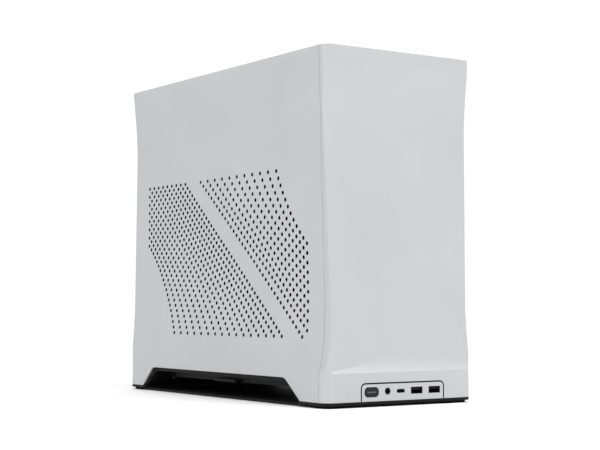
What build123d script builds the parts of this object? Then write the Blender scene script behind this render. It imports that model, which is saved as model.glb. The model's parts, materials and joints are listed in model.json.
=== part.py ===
from build123d import *

import math
import os

# Compact desktop computer tower: folded aluminium skin, steel chassis and the machine inside.
# Frame: +Z up, origin at the bottom centre on the floor, front faces -Y, rear faces +Y.
# All sizes are in millimetres.

# ---------------------------------------------------------------- driving dimensions
WIDTH = 165.0            # outside width, along X
LENGTH = 363.0           # outside depth, along Y
HEIGHT = 314.0           # floor to rim
CORNER_R = 10.0          # vertical corner radius of the skin
SKIN = 2.0               # skin thickness
FOOT_H = 2.4             # rubber feet
PLINTH_Z = 5.0           # lower edge of the metal skin
RECESS_LOW_Z = 30.0      # the faces are recessed from here up to the rim
RECESS_H = HEIGHT - RECESS_LOW_Z
FACET_SLOPE = 0.028      # how fast each facet deepens, per mm of height
FACET_START = 0.5        # depth of the upper facet at its own top corner
RIM_D = 0.15             # depth of each face at the rim and just above the plinth
GAP = 0.4                # clearance between neighbouring pieces
SHEET = 1.2              # chassis sheet thickness
SEAM_Y = -170.6          # seam between the front panel and the side panels
SEAM_GAP = 0.35

HALF_W = WIDTH / 2
HALF_L = LENGTH / 2

# chassis box
FLOOR_Z = 24.8           # underside of the chassis floor
CHASSIS_HALF_W = 69.0
CHASSIS_FRONT_Y = -167.0
CHASSIS_REAR_Y = 167.0
CHASSIS_TOP_Z = 296.0

# side cut-out under the case, distances from the rear face and heights
CUT_LOW_REAR, CUT_LOW_FRONT = 31.0, 324.0
CUT_TOP_REAR, CUT_TOP_FRONT = 52.5, 299.0
CUT_TOP_Z = 24.6
CUT_ROUND = 11.0
LIP = 3.5                # black lip that shows inside the cut-out

# front connector tab, in the plinth
TAB_LEFT, TAB_RIGHT = -45.4, 48.0
TAB_TOP_Z = 21.2
TAB_ROUND = 5.0
TAB_LINE = 1.3           # width of the black line around the tab
BUTTON_X, BUTTON_Z = -33.5, 13.0
BUTTON_W, BUTTON_H, BUTTON_TRAVEL = 15.4, 8.6, 0.8
JACK_X, JACK_Z = -16.0, 13.4
USB_C_X, USB_C_Z = -1.4, 13.2
USB_A_XS, USB_A_Z = (16.5, 36.7), 13.2
FACE_Y = -HALF_L         # outer face of the plinth

# inside
SPINE_X = -11.2          # left face of the centre plate that carries the boards
BOARD_X = -3.5           # back face of the main board
BOARD_SIZE = 170.0
BOARD_REAR_Y = 164.0
BOARD_LOW_Z = 98.0
CARD_X = -17.5           # outer face of the graphics card's own board
CARD_Y0, CARD_Y1 = -86.0, 163.0
CARD_Z0, CARD_Z1 = 112.0, 236.0
PSU_W, PSU_L, PSU_H = 125.0, 100.0, 63.5
FAN_SIZE = 120.0
FAN_PITCH = 105.0        # bolt spacing of a 120 mm fan
TOP_FAN_YS = (-62.0, 62.0)
TOP_FAN_Z = 270.0        # underside of the two top fans
TOP_FAN_H = 25.0
FLOOR_FAN_Y = -62.0
FLOOR_FAN_H = 15.0
PSU_REAR_Y = CHASSIS_REAR_Y - 0.2
PSU_Z0 = FLOOR_Z + SHEET + 0.6
SCREW_R = 1.75

os.makedirs("parts", exist_ok=True)


def save(piece, name):
    """Label a finished piece and write it to its own file."""
    piece.part.label = name
    export_step(piece.part, f"parts/{name}.step")


def from_rear(distance):
    """Y of a point that lies the given distance in front of the rear face."""
    return HALF_L - distance


# ---------------------------------------------------------------- skin
def recess_cutter(face_length, crease_start, crease_end):
    """What is taken off one face, drawn for a face that lies on Y = 0 and looks along -Y.

    Two shallow planes meet in a diagonal crease that runs from the upper left to the lower
    right. A concave flare brings the surface back out at the rim and at the plinth.
    """
    slope = RECESS_H / (crease_end - crease_start)
    across = slope * FACET_SLOPE
    lower_start = FACET_START + across * (face_length - 2 * crease_start)
    lower_start -= FACET_SLOPE * RECESS_H
    knee_d, knee_h = 4.4, 15.0
    flare_d, flare_h, middle_d = 7.2, 60.0, 10.1
    high, low = HEIGHT, RECESS_LOW_Z
    with BuildPart() as cutter:
        with BuildSketch(Plane.YZ.offset(-face_length / 2 - 5)):
            with BuildLine():
                ThreePointArc((RIM_D, high), (2.9, high - 7.5), (knee_d, high - knee_h))
                ThreePointArc((knee_d, high - knee_h), (6.3, high - 37), (flare_d, high - flare_h))
                Line((flare_d, high - flare_h), (middle_d, (high + low) / 2))
                Line((middle_d, (high + low) / 2), (flare_d, low + flare_h))
                ThreePointArc((flare_d, low + flare_h), (6.3, low + 37), (knee_d, low + knee_h))
                ThreePointArc((knee_d, low + knee_h), (2.9, low + 7.5), (RIM_D, low))
                Polyline((RIM_D, low), (-6, low), (-6, high + 1), (RIM_D, high + 1), (RIM_D, high))
            make_face()
        extrude(amount=face_length + 10)
        upper = Plane(
            origin=(face_length / 2, FACET_START, high),
            x_dir=(1, -across, 0),
            z_dir=(across, 1, FACET_SLOPE),
        )
        split(bisect_by=upper, keep=Keep.BOTTOM)
        lower = Plane(
            origin=(-face_length / 2, lower_start, low),
            x_dir=(1, across, 0),
            z_dir=(-across, 1, -FACET_SLOPE),
        )
        split(bisect_by=lower, keep=Keep.BOTTOM)
    return cutter.part


def skin_form(inset, low_z):
    """Solid bounded by the skin's outer face, or by its inner face when inset is the skin."""
    front_cut = recess_cutter(WIDTH, 8.0, 157.5)
    side_cut = recess_cutter(LENGTH, -5.0, 338.0)
    with BuildPart() as form:
        with BuildSketch(Plane.XY.offset(low_z)):
            RectangleRounded(WIDTH - 2 * inset, LENGTH - 2 * inset, CORNER_R - inset)
        extrude(amount=HEIGHT - low_z)
        for turn in (0, 180):
            with Locations(Location((0, 0, 0), (0, 0, turn))):
                with Locations((0, inset - HALF_L, 0)):
                    add(front_cut, mode=Mode.SUBTRACT)
            with Locations(Location((0, 0, 0), (0, 0, turn - 90))):
                with Locations((0, inset - HALF_W, 0)):
                    add(side_cut, mode=Mode.SUBTRACT)
    return form.part


def cut_out_sketch(shrink):
    """Outline of the opening under the case, seen from the side, made smaller by shrink."""
    with BuildSketch(Plane.YZ.offset(-HALF_W - 10)) as outline:
        with BuildLine():
            Polyline(
                (from_rear(CUT_LOW_REAR + shrink), -5),
                (from_rear(CUT_LOW_REAR + shrink), PLINTH_Z - 0.1),
                (from_rear(CUT_TOP_REAR + shrink), CUT_TOP_Z - shrink),
                (from_rear(CUT_TOP_FRONT - shrink), CUT_TOP_Z - shrink),
                (from_rear(CUT_LOW_FRONT - shrink), PLINTH_Z - 0.1),
                (from_rear(CUT_LOW_FRONT - shrink), -5),
                close=True,
            )
        make_face()
        fillet(outline.vertices().group_by(Axis.Y)[-1], CUT_ROUND)
    return outline.sketch


outer_form = skin_form(0, PLINTH_Z)
inner_form = skin_form(SKIN, PLINTH_Z - 1)
tunnel_outline = cut_out_sketch(0)

with BuildPart() as shell:
    add(outer_form)
    add(inner_form, mode=Mode.SUBTRACT)
    extrude(tunnel_outline, amount=WIDTH + 20, mode=Mode.SUBTRACT)


def chain(start, end, start_direction, end_direction, count):
    """Evenly numbered points on one cubic curve between two places on a side panel."""
    reach = math.dist(start, end) / 3
    controls = (
        start,
        (start[0] + reach * start_direction[0], start[1] + reach * start_direction[1]),
        (end[0] - reach * end_direction[0], end[1] - reach * end_direction[1]),
        end,
    )
    points = []
    for index in range(count):
        s = index / (count - 1)
        weights = ((1 - s) ** 3, 3 * s * (1 - s) ** 2, 3 * s * s * (1 - s), s**3)
        points.append(tuple(sum(w * c[k] for w, c in zip(weights, controls)) for k in (0, 1)))
    return points


def heading(degrees):
    """Unit direction on a side panel, measured from forward towards down."""
    return math.cos(math.radians(degrees)), math.sin(math.radians(degrees))


VENT_TOP, VENT_LOW = 103.7, 253.3        # first and last rows, below the rim
REAR_FIELD_CHAINS, FRONT_FIELD_CHAINS = 16, 11


def rear_field():
    """Chains of the rear vent field as (points, radius), from the crease outwards."""
    chains = []
    for number in range(REAR_FIELD_CHAINS):
        share = number / (REAR_FIELD_CHAINS - 1)
        if number < 9:
            start = (104.4 - 9.06 * number, VENT_TOP)
            count = round(39 - 0.75 * number)
        else:
            start = (31.6 + 0.4 * (number - 8), VENT_TOP + 8.6 * (number - 8))
            count = 33 - 2 * (number - 8)
        end = (286.1 - 13.03 * number, VENT_LOW)
        points = chain(start, end, heading(41.5), heading(39.5 + 35 * share**1.3), count)
        chains.append((points, 1.75))
    return chains


def front_field():
    """Chains of the front vent field as (points, radius), from the crease outwards."""
    chains = []
    for number in range(FRONT_FIELD_CHAINS):
        share = number / (FRONT_FIELD_CHAINS - 1)
        start = (135.3 + 14.23 * number, VENT_TOP)
        end = (326.0, VENT_LOW + 2.8 - 8.5 * number) if number else (318.9, VENT_LOW)
        pitch = min(6.75 + 0.22 * number, 7.8)
        count = 1 + round(math.dist(start, end) / pitch)
        points = chain(start, end, heading(39.2 + 26 * share), heading(39.5), count)
        chains.append((points, 1.75 + 0.15 * share))
    return chains


DRILL_L = 26.0


def vent_drills(turn):
    """Drills for both vent fields, on the left side or half a turn from it."""
    side = Location((0, 0, 0), (0, 0, turn))
    drills = []
    for points, radius in rear_field() + front_field():
        drill = Cylinder(radius, DRILL_L)
        for b, t in points:
            place = Location((4 - HALF_W, from_rear(b), HEIGHT - t), (0, 90, 0))
            drills.append(side * place * drill)
    return drills


def block(low, high, mode=Mode.ADD):
    """A box between two corners, in the part that is being built."""
    middle = [(a + b) / 2 for a, b in zip(low, high)]
    with Locations(tuple(middle)):
        Box(*[b - a for a, b in zip(low, high)], mode=mode)


SEAM_FRONT = SEAM_Y - SEAM_GAP / 2
SEAM_REAR = SEAM_Y + SEAM_GAP / 2
RETURN_X = 66.0          # the side panels wrap the rear corners as far as this


def side_panel(side, turn):
    """One side of the skin, from the seam round the rear corner; side is -1 or 1."""
    near, far = sorted((side * RETURN_X, side * (HALF_W + 5)))
    drills = vent_drills(turn)
    with BuildPart() as panel:
        block((near, SEAM_REAR, 0), (far, HALF_L + 5, HEIGHT + 5))
        add(shell.part, mode=Mode.INTERSECT)
        add(drills, mode=Mode.SUBTRACT)
    return panel


left_side_panel = side_panel(-1, 0)
save(left_side_panel, "left_side_panel")
right_side_panel = side_panel(1, 180)
save(right_side_panel, "right_side_panel")


def tab_sketch(shrink, y):
    """Outline of the connector tab, open towards the plinth, on the plane at y."""
    width = TAB_RIGHT - TAB_LEFT - 2 * shrink
    low = PLINTH_Z - 3
    tall = TAB_TOP_Z - shrink - low
    centre = ((TAB_LEFT + TAB_RIGHT) / 2, low + tall / 2)
    with BuildSketch(Plane.XZ.offset(-y)) as outline:
        with Locations(centre):
            Rectangle(width, tall)
        fillet(outline.vertices().group_by(Axis.Z)[-1], TAB_ROUND - shrink)
    return outline.sketch


with BuildPart() as front_panel:
    block((-HALF_W - 5, -HALF_L - 5, 0), (HALF_W + 5, SEAM_FRONT, HEIGHT + 5))
    add(shell.part, mode=Mode.INTERSECT)
    extrude(tab_sketch(0, -HALF_L + 4), amount=8, mode=Mode.SUBTRACT)
save(front_panel, "front_panel")

# ---------------------------------------------------------------- top panel
TOP_Z0, TOP_Z1 = 304.5, 311.0
TOP_W, TOP_L, TOP_CORNER_R = 153.0, 351.0, 20.0
SLAT_PITCH, SLOT_W, SLOT_COUNT = 8.6, 4.4, 16
SLOT_L = TOP_L - 26

with BuildPart() as top_panel:
    with BuildSketch(Plane.XY.offset(TOP_Z0)):
        RectangleRounded(TOP_W, TOP_L, TOP_CORNER_R)
    extrude(amount=TOP_Z1 - TOP_Z0)
    chamfer(top_panel.faces().sort_by(Axis.Z)[-1].edges(), 0.8)
    with BuildSketch(Plane.XY.offset(TOP_Z1)):
        with GridLocations(SLAT_PITCH, 1, SLOT_COUNT, 1):
            SlotOverall(SLOT_L, SLOT_W, rotation=90)
    extrude(amount=-(TOP_Z1 - TOP_Z0 + 1), mode=Mode.SUBTRACT)
    for rib_y in (-SLOT_L / 4, 0, SLOT_L / 4):
        block((-TOP_W / 2 + 6, rib_y - 2, TOP_Z0), (TOP_W / 2 - 6, rib_y + 2, TOP_Z0 + 2))
save(top_panel, "top_panel")

with BuildPart() as top_mesh:
    with BuildSketch(Plane.XY.offset(TOP_Z0 - 1.0)):
        RectangleRounded(TOP_W - 8, TOP_L - 8, TOP_CORNER_R - 4)
        with GridLocations(9.4, 20, 14, 16):
            SlotOverall(17, 6, rotation=90, mode=Mode.SUBTRACT)
    extrude(amount=1.0)
save(top_mesh, "top_mesh")

# four studs on the underside of the top panel push into the chassis top
TOP_STUD_X, TOP_STUD_Y = 62.0, 158.0
with BuildPart() as top_panel_studs:
    with BuildSketch(Plane.XY.offset(CHASSIS_TOP_Z - 3)):
        with GridLocations(2 * TOP_STUD_X, 2 * TOP_STUD_Y, 2, 2):
            Circle(2.5)
    extrude(amount=TOP_Z0 - 1.0 - CHASSIS_TOP_Z + 3)
    chamfer(top_panel_studs.faces().group_by(Axis.Z)[0].edges(), 0.8)
save(top_panel_studs, "top_panel_studs")

# ---------------------------------------------------------------- base
BASE_W, BASE_L = WIDTH - 2 * SKIN - 1, LENGTH - 2 * SKIN - 1
POCKET_X = 76.0
FRONT_POCKET_Y, REAR_POCKET_Y = (-176.2, -146.0), (152.0, 176.2)
FILTER_X, FILTER_Y = 64.0, (-105.0, 115.0)
FILTER_Z = (15.0, 19.6)
INTAKE_Y = (70.0, 124.0)                 # power supply intake

with BuildPart() as base_frame:
    with BuildSketch(Plane.XY.offset(FOOT_H)):
        RectangleRounded(WIDTH, LENGTH, CORNER_R)
    extrude(amount=PLINTH_Z - 0.2 - FOOT_H)
    with BuildSketch(Plane.XY.offset(FOOT_H)):
        RectangleRounded(BASE_W, BASE_L, CORNER_R - SKIN - 0.5)
    extrude(amount=CUT_TOP_Z - FOOT_H)
    extrude(cut_out_sketch(LIP), amount=WIDTH + 20, mode=Mode.SUBTRACT)
    for low_y, high_y in (FRONT_POCKET_Y, REAR_POCKET_Y):
        block((-POCKET_X, low_y, PLINTH_Z), (POCKET_X, high_y, CUT_TOP_Z + 1), Mode.SUBTRACT)
    block(
        (TAB_LEFT - 0.4, -BASE_L / 2 - 1, PLINTH_Z - 0.2),
        (TAB_RIGHT + 0.4, FRONT_POCKET_Y[0] + 1, TAB_TOP_Z + 0.4),
        Mode.SUBTRACT,
    )
    with Locations((0, FLOOR_FAN_Y, CUT_TOP_Z)):
        Cylinder(FAN_SIZE / 2 - 4, 12, mode=Mode.SUBTRACT)
    block((-52, INTAKE_Y[0], 15), (52, INTAKE_Y[1], 30), Mode.SUBTRACT)
    for end_y, inward in ((FILTER_Y[0], 1), (FILTER_Y[1], -1)):
        web = sorted((end_y - inward * 0.5, end_y - inward * 2.5))
        ledge = sorted((end_y - inward * 2.5, end_y + inward * 3.5))
        block((-66, web[0], FILTER_Z[0] - 2), (66, web[1], CUT_TOP_Z - LIP))
        block((-66, ledge[0], FILTER_Z[0] - 2), (66, ledge[1], FILTER_Z[0] - 0.3))
save(base_frame, "base_frame")

with BuildPart() as base_pan:
    block((-79, from_rear(328), 0.8), (79, from_rear(27), FOOT_H))
save(base_pan, "base_pan")

with BuildPart() as foot_pads:
    for low_y, high_y in ((-178, from_rear(329)), (from_rear(26), 178)):
        with BuildSketch(Plane.XY):
            with Locations((0, (low_y + high_y) / 2)):
                RectangleRounded(158, high_y - low_y, 6)
        extrude(amount=FOOT_H)
    chamfer(foot_pads.faces().group_by(Axis.Z)[0].edges(), 0.5)
save(foot_pads, "foot_pads")

with BuildPart() as filter_frame:
    block((-FILTER_X, FILTER_Y[0], FILTER_Z[0]), (FILTER_X, FILTER_Y[1], FILTER_Z[1]))
    with Locations((0, sum(FILTER_Y) / 2, sum(FILTER_Z) / 2)):
        with GridLocations(30.5, 30.5, 4, 7):
            Box(27.5, 27.5, 10, mode=Mode.SUBTRACT)
    block((-FILTER_X - 7, -15, FILTER_Z[0]), (-FILTER_X + 3, 25, FILTER_Z[0] + 2.5))
    fillet(filter_frame.edges().filter_by(Axis.Z).group_by(Axis.X)[0], 2)
save(filter_frame, "dust_filter_frame")

with BuildPart() as filter_mesh:
    with Locations((0, sum(FILTER_Y) / 2, FILTER_Z[1] + 0.25)):
        Box(2 * FILTER_X - 6, FILTER_Y[1] - FILTER_Y[0] - 6, 0.5)
save(filter_mesh, "dust_filter_mesh")

# ---------------------------------------------------------------- connector tab in the plinth
PLATE_BACK = 3.0         # thickness of the tab's plate

with BuildPart() as tab_trim:
    extrude(tab_sketch(0.15, FACE_Y), amount=-5)
    extrude(tab_sketch(TAB_LINE, FACE_Y), amount=-5, mode=Mode.SUBTRACT)
    block((TAB_LEFT - 1, FACE_Y - 1, 0), (TAB_RIGHT + 1, FACE_Y + 6, PLINTH_Z - 0.1), Mode.SUBTRACT)
save(tab_trim, "tab_trim")

with BuildPart() as tab_plate:
    extrude(tab_sketch(TAB_LINE + 0.05, FACE_Y), amount=-PLATE_BACK)
    block((TAB_LEFT, FACE_Y - 1, 0), (TAB_RIGHT, FACE_Y + 6, PLINTH_Z), Mode.SUBTRACT)
    with BuildSketch(Plane.XZ.offset(-FACE_Y)):
        with Locations((BUTTON_X, BUTTON_Z)):
            RectangleRounded(BUTTON_W + 0.3, BUTTON_H + 0.3, 3.7)
        with Locations((JACK_X, JACK_Z)):
            Circle(3.15)
        with Locations((USB_C_X, USB_C_Z)):
            SlotOverall(9.2, 3.4)
        with Locations(*[(x, USB_A_Z) for x in USB_A_XS]):
            RectangleRounded(13.2, 6.1, 0.1)
    extrude(amount=-PLATE_BACK, mode=Mode.SUBTRACT)
save(tab_plate, "tab_plate")

LIGHT_W, LIGHT_H = 9.0, 0.8
BUTTON_FACE = Plane.XZ.offset(-FACE_Y - 0.1)
with BuildPart() as power_button:
    with BuildSketch(BUTTON_FACE):
        with Locations((BUTTON_X, BUTTON_Z)):
            RectangleRounded(BUTTON_W, BUTTON_H, 3.5)
    extrude(amount=-6)
    fillet(power_button.faces().sort_by(Axis.Y)[0].edges(), 0.6)
    with BuildSketch(BUTTON_FACE):
        with Locations((BUTTON_X, BUTTON_Z)):
            Rectangle(LIGHT_W, LIGHT_H)
    extrude(amount=-4, mode=Mode.SUBTRACT)
save(power_button, "power_button")

with BuildPart() as power_light:
    with BuildSketch(BUTTON_FACE):
        with Locations((BUTTON_X, BUTTON_Z)):
            Rectangle(LIGHT_W - 0.1, LIGHT_H - 0.1)
    extrude(amount=-4)
save(power_light, "power_light")

IO_BOARD_TOP = 9.0
with BuildPart() as audio_jack:
    with BuildSketch(Plane.XZ.offset(-FACE_Y - 0.2)):
        with Locations((JACK_X, JACK_Z)):
            Circle(3.0)
    extrude(amount=-14)
    block((JACK_X - 3.5, FACE_Y + 4, IO_BOARD_TOP), (JACK_X + 3.5, FACE_Y + 14, JACK_Z + 3.2))
    with BuildSketch(Plane.XZ.offset(-FACE_Y - 0.2)):
        with Locations((JACK_X, JACK_Z)):
            Circle(SCREW_R)
    extrude(amount=-12, mode=Mode.SUBTRACT)
save(audio_jack, "audio_jack")

with BuildPart() as usb_c_port:
    with BuildSketch(Plane.XZ.offset(-FACE_Y - 0.4)):
        with Locations((USB_C_X, USB_C_Z)):
            SlotOverall(8.9, 3.2)
            SlotOverall(8.3, 2.5, mode=Mode.SUBTRACT)
    extrude(amount=-8)
    block(
        (USB_C_X - 4.5, FACE_Y + 8.4, IO_BOARD_TOP),
        (USB_C_X + 4.5, FACE_Y + 13, USB_C_Z + 1.6),
    )
    block(
        (USB_C_X - 3.3, FACE_Y + 2, USB_C_Z - 0.35),
        (USB_C_X + 3.3, FACE_Y + 9, USB_C_Z + 0.35),
    )
save(usb_c_port, "usb_c_port")

with BuildPart() as usb_a_ports:
    for x in USB_A_XS:
        block((x - 6.5, FACE_Y + 0.4, USB_A_Z - 2.95), (x + 6.5, FACE_Y + 14, USB_A_Z + 2.95))
        block(
            (x - 6.15, FACE_Y, USB_A_Z - 2.6), (x + 6.15, FACE_Y + 11, USB_A_Z + 2.6), Mode.SUBTRACT
        )
        block((x - 5.8, FACE_Y + 1.6, USB_A_Z + 0.4), (x + 5.8, FACE_Y + 12, USB_A_Z + 2.2))
        block((x - 6.5, FACE_Y + 8, IO_BOARD_TOP), (x + 6.5, FACE_Y + 14, USB_A_Z - 2.9))
save(usb_a_ports, "usb_a_ports")

with BuildPart() as io_board:
    block((-43, FACE_Y + 7.2, IO_BOARD_TOP - 1.6), (46, FACE_Y + 24, IO_BOARD_TOP))
    block((-37, FACE_Y + 7.2, IO_BOARD_TOP), (-30, FACE_Y + 11, 16.5))
    block((-25, FACE_Y + 17, IO_BOARD_TOP), (5, FACE_Y + 23, IO_BOARD_TOP + 6))
save(io_board, "front_io_board")

# ---------------------------------------------------------------- chassis
FLOOR_TOP = FLOOR_Z + SHEET


def fan_holes(plane, centres, opening_r, pitch, hole_r):
    """Round opening and four bolt holes for each fan, cut through a sheet."""
    with BuildSketch(plane) as holes:
        for centre in centres:
            with Locations(centre):
                Circle(opening_r)
                with GridLocations(pitch, pitch, 2, 2):
                    Circle(hole_r)
    extrude(holes.sketch, amount=4, both=True, mode=Mode.SUBTRACT)


with BuildPart() as chassis_floor:
    block((-CHASSIS_HALF_W, CHASSIS_FRONT_Y, FLOOR_Z), (CHASSIS_HALF_W, CHASSIS_REAR_Y, FLOOR_TOP))
    for side in (-1, 1):
        wall = sorted((side * CHASSIS_HALF_W, side * (CHASSIS_HALF_W - SHEET)))
        block((wall[0], -150, FLOOR_Z), (wall[1], 150, FLOOR_Z + 10))
    fan_holes(Plane.XY.offset(FLOOR_Z), [(0, FLOOR_FAN_Y)], FAN_SIZE / 2 - 4, FAN_PITCH, 2.2)
    with BuildSketch(Plane.XY.offset(FLOOR_Z)):
        with Locations((0, sum(INTAKE_Y) / 2)):
            with GridLocations(1, 7, 1, 8):
                SlotOverall(96, 4)
    extrude(amount=4, both=True, mode=Mode.SUBTRACT)
save(chassis_floor, "chassis_floor")

with BuildPart() as front_bulkhead:
    block(
        (-CHASSIS_HALF_W, CHASSIS_FRONT_Y, FLOOR_TOP),
        (CHASSIS_HALF_W, CHASSIS_FRONT_Y + SHEET, CHASSIS_TOP_Z),
    )
    for side in (-1, 1):
        wall = sorted((side * CHASSIS_HALF_W, side * (CHASSIS_HALF_W - SHEET)))
        block(
            (wall[0], CHASSIS_FRONT_Y, FLOOR_TOP + 12),
            (wall[1], CHASSIS_FRONT_Y + 14, CHASSIS_TOP_Z),
        )
    with BuildSketch(Plane.XZ.offset(-CHASSIS_FRONT_Y)):
        with Locations((0, 165)):
            with GridLocations(28, 42, 4, 5):
                RectangleRounded(22, 34, 4)
        with Locations((0, 34)):
            RectangleRounded(60, 8, 3)
    extrude(amount=4, both=True, mode=Mode.SUBTRACT)
save(front_bulkhead, "front_bulkhead")

REAR_LOW_Z = FLOOR_TOP + 0.1
REAR_LIP_Y = from_rear(3)
SHIELD_X = (-5.6, 38.4)
SHIELD_Z = (104.0, 262.8)
SLOT_X = (-66.0, -15.0)
SLOT_Z = (118.0, 228.0)
REAR_X = 65.4

with BuildPart() as rear_panel:
    block((-REAR_X, CHASSIS_REAR_Y - SHEET, REAR_LOW_Z), (REAR_X, CHASSIS_REAR_Y, CHASSIS_TOP_Z))
    for side in (-1, 1):
        wall = sorted((side * REAR_X, side * (REAR_X - SHEET)))
        block((wall[0], CHASSIS_REAR_Y - SHEET, REAR_LOW_Z), (wall[1], REAR_LIP_Y, CHASSIS_TOP_Z))
    block((-REAR_X, CHASSIS_REAR_Y, REAR_LOW_Z), (REAR_X, REAR_LIP_Y, FLOOR_TOP + SHEET))
    for (low_x, high_x), (low_z, high_z) in (
        ((SHIELD_X[0] + 1, SHIELD_X[1] - 1), (SHIELD_Z[0] + 1, SHIELD_Z[1] - 1)),
        ((SLOT_X[0] + 2, SLOT_X[1] - 2), SLOT_Z),
        ((-53, 53), (PSU_Z0 + 4, PSU_Z0 + PSU_H - 4)),
    ):
        block((low_x, 160, low_z), (high_x, 168, high_z), Mode.SUBTRACT)
    with BuildSketch(Plane.XZ.offset(-CHASSIS_REAR_Y)):
        with Locations((52, 185)):
            with GridLocations(1, 8, 1, 19):
                SlotOverall(18, 4)
        with Locations((-40, 250)):
            with GridLocations(1, 8, 1, 4):
                SlotOverall(44, 4)
    extrude(amount=4, both=True, mode=Mode.SUBTRACT)
save(rear_panel, "rear_panel")

with BuildPart() as top_frame:
    block(
        (-CHASSIS_HALF_W, CHASSIS_FRONT_Y, CHASSIS_TOP_Z),
        (CHASSIS_HALF_W, CHASSIS_REAR_Y, CHASSIS_TOP_Z + SHEET),
    )
    top_plane = Plane.XY.offset(CHASSIS_TOP_Z)
    fan_holes(top_plane, [(0, y) for y in TOP_FAN_YS], FAN_SIZE / 2 - 4, FAN_PITCH, 2.2)
    with BuildSketch(top_plane):
        with GridLocations(2 * TOP_STUD_X, 2 * TOP_STUD_Y, 2, 2):
            Circle(2.8)
        with GridLocations(1, 300, 1, 2):
            RectangleRounded(70, 16, 4)
    extrude(amount=4, both=True, mode=Mode.SUBTRACT)
save(top_frame, "top_frame")

SPINE_Z = (95.5, TOP_FAN_Z - 1.5)
with BuildPart() as centre_plate:
    block((SPINE_X, -140, SPINE_Z[0]), (SPINE_X + SHEET, CHASSIS_REAR_Y - SHEET, SPINE_Z[1]))
    block((SPINE_X, -140, FLOOR_TOP), (SPINE_X + SHEET, -128, CHASSIS_TOP_Z))
    with BuildSketch(Plane.YZ.offset(SPINE_X)):
        with Locations((-70, 150)):
            with GridLocations(34, 44, 3, 3):
                RectangleRounded(26, 34, 5)
    extrude(amount=4, both=True, mode=Mode.SUBTRACT)
save(centre_plate, "centre_plate")

# ---------------------------------------------------------------- fans
SHAFT_R, BORE_R = 1.5, 1.55


def fan_frame(plane, size, height, pitch):
    """Square fan housing with a motor seat on four struts at its lower side."""
    inner_r = size / 2 - 3
    with BuildPart(plane) as frame:
        Box(size, size, height)
        fillet(frame.edges().filter_by(Axis((0, 0, 0), plane.z_dir)), 5)
        Cylinder(inner_r, height, mode=Mode.SUBTRACT)
        with Locations((0, 0, -height / 2 + 1.25)):
            Cylinder(19, 2.5)
            with PolarLocations(0, 4, 45):
                with Locations((inner_r / 2 + 4, 0, 0)):
                    Box(inner_r - 4, 4, 2.5)
        with Locations((0, 0, -1)):
            Cylinder(SHAFT_R, height - 6)
        with GridLocations(pitch, pitch, 2, 2):
            Cylinder(2.15, height, mode=Mode.SUBTRACT)
    return frame


def fan_rotor(plane, size, height, blades):
    """Hub and pitched blades that turn on the housing's shaft."""
    hub_h = height - 5
    blade_h = height - 7
    tip_r = size / 2 - 4.5
    pitch_angle = 38
    with BuildPart(plane) as rotor:
        with PolarLocations(0, blades):
            with Locations(Location((tip_r / 2 + 8, 0, 1.2), (pitch_angle, 0, 0))):
                Box(tip_r - 14, blade_h / math.sin(math.radians(pitch_angle)) - 2.2, 1.5)
        with Locations((0, 0, 1.2)):
            Cylinder(tip_r, hub_h - 0.8, mode=Mode.INTERSECT)
            Cylinder(17.5, hub_h)
        fillet(rotor.faces().sort_by(Axis((0, 0, 0), plane.z_dir))[-1].edges(), 1.5)
        with Locations((0, 0, -0.8)):
            Cylinder(BORE_R, height - 4.5, mode=Mode.SUBTRACT)
    return rotor


CASE_FANS = {
    "top_fan_front": (TOP_FAN_YS[0], TOP_FAN_Z, TOP_FAN_H),
    "top_fan_rear": (TOP_FAN_YS[1], TOP_FAN_Z, TOP_FAN_H),
    "floor_fan": (FLOOR_FAN_Y, FLOOR_TOP + 0.2, FLOOR_FAN_H),
}
for fan_name, (centre_y, low_z, height) in CASE_FANS.items():
    fan_plane = Plane(origin=(0, centre_y, low_z + height / 2), z_dir=(0, 0, 1))
    save(fan_frame(fan_plane, FAN_SIZE, height, FAN_PITCH), f"{fan_name}_frame")
    save(fan_rotor(fan_plane, FAN_SIZE, height, 9), f"{fan_name}_rotor")

# ---------------------------------------------------------------- main board
BOARD_FACE = BOARD_X + 1.6
BOARD_Y0 = BOARD_REAR_Y - BOARD_SIZE
BOARD_Z1 = BOARD_LOW_Z + BOARD_SIZE
HOLE_YS = (BOARD_REAR_Y - 6.4, BOARD_REAR_Y - 6.4 - 154.9)
HOLE_ZS = (BOARD_LOW_Z + 6.4, BOARD_LOW_Z + 6.4 + 157.5)
CPU_Y, CPU_Z = 92.0, 196.0
hole_places = [(y, z) for y in HOLE_YS for z in HOLE_ZS]

with BuildPart() as main_board:
    block((BOARD_X, BOARD_Y0, BOARD_LOW_Z), (BOARD_FACE, BOARD_REAR_Y, BOARD_Z1))
    with BuildSketch(Plane.YZ.offset(BOARD_X)):
        with Locations(*hole_places):
            Circle(2.0)
    extrude(amount=4, both=True, mode=Mode.SUBTRACT)
save(main_board, "main_board")

with BuildPart() as board_standoffs:
    with BuildSketch(Plane.YZ.offset(SPINE_X + SHEET)):
        with Locations(*hole_places):
            RegularPolygon(3, 6)
    extrude(amount=BOARD_X - SPINE_X - SHEET)
save(board_standoffs, "board_standoffs")

with BuildPart() as board_screws:
    with BuildSketch(Plane.YZ.offset(BOARD_X)):
        with Locations(*hole_places):
            Circle(1.5)
    extrude(amount=1.6)
    with BuildSketch(Plane.YZ.offset(BOARD_FACE)):
        with Locations(*hole_places):
            Circle(3.0)
    extrude(amount=2.0)
save(board_screws, "board_screws")

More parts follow.
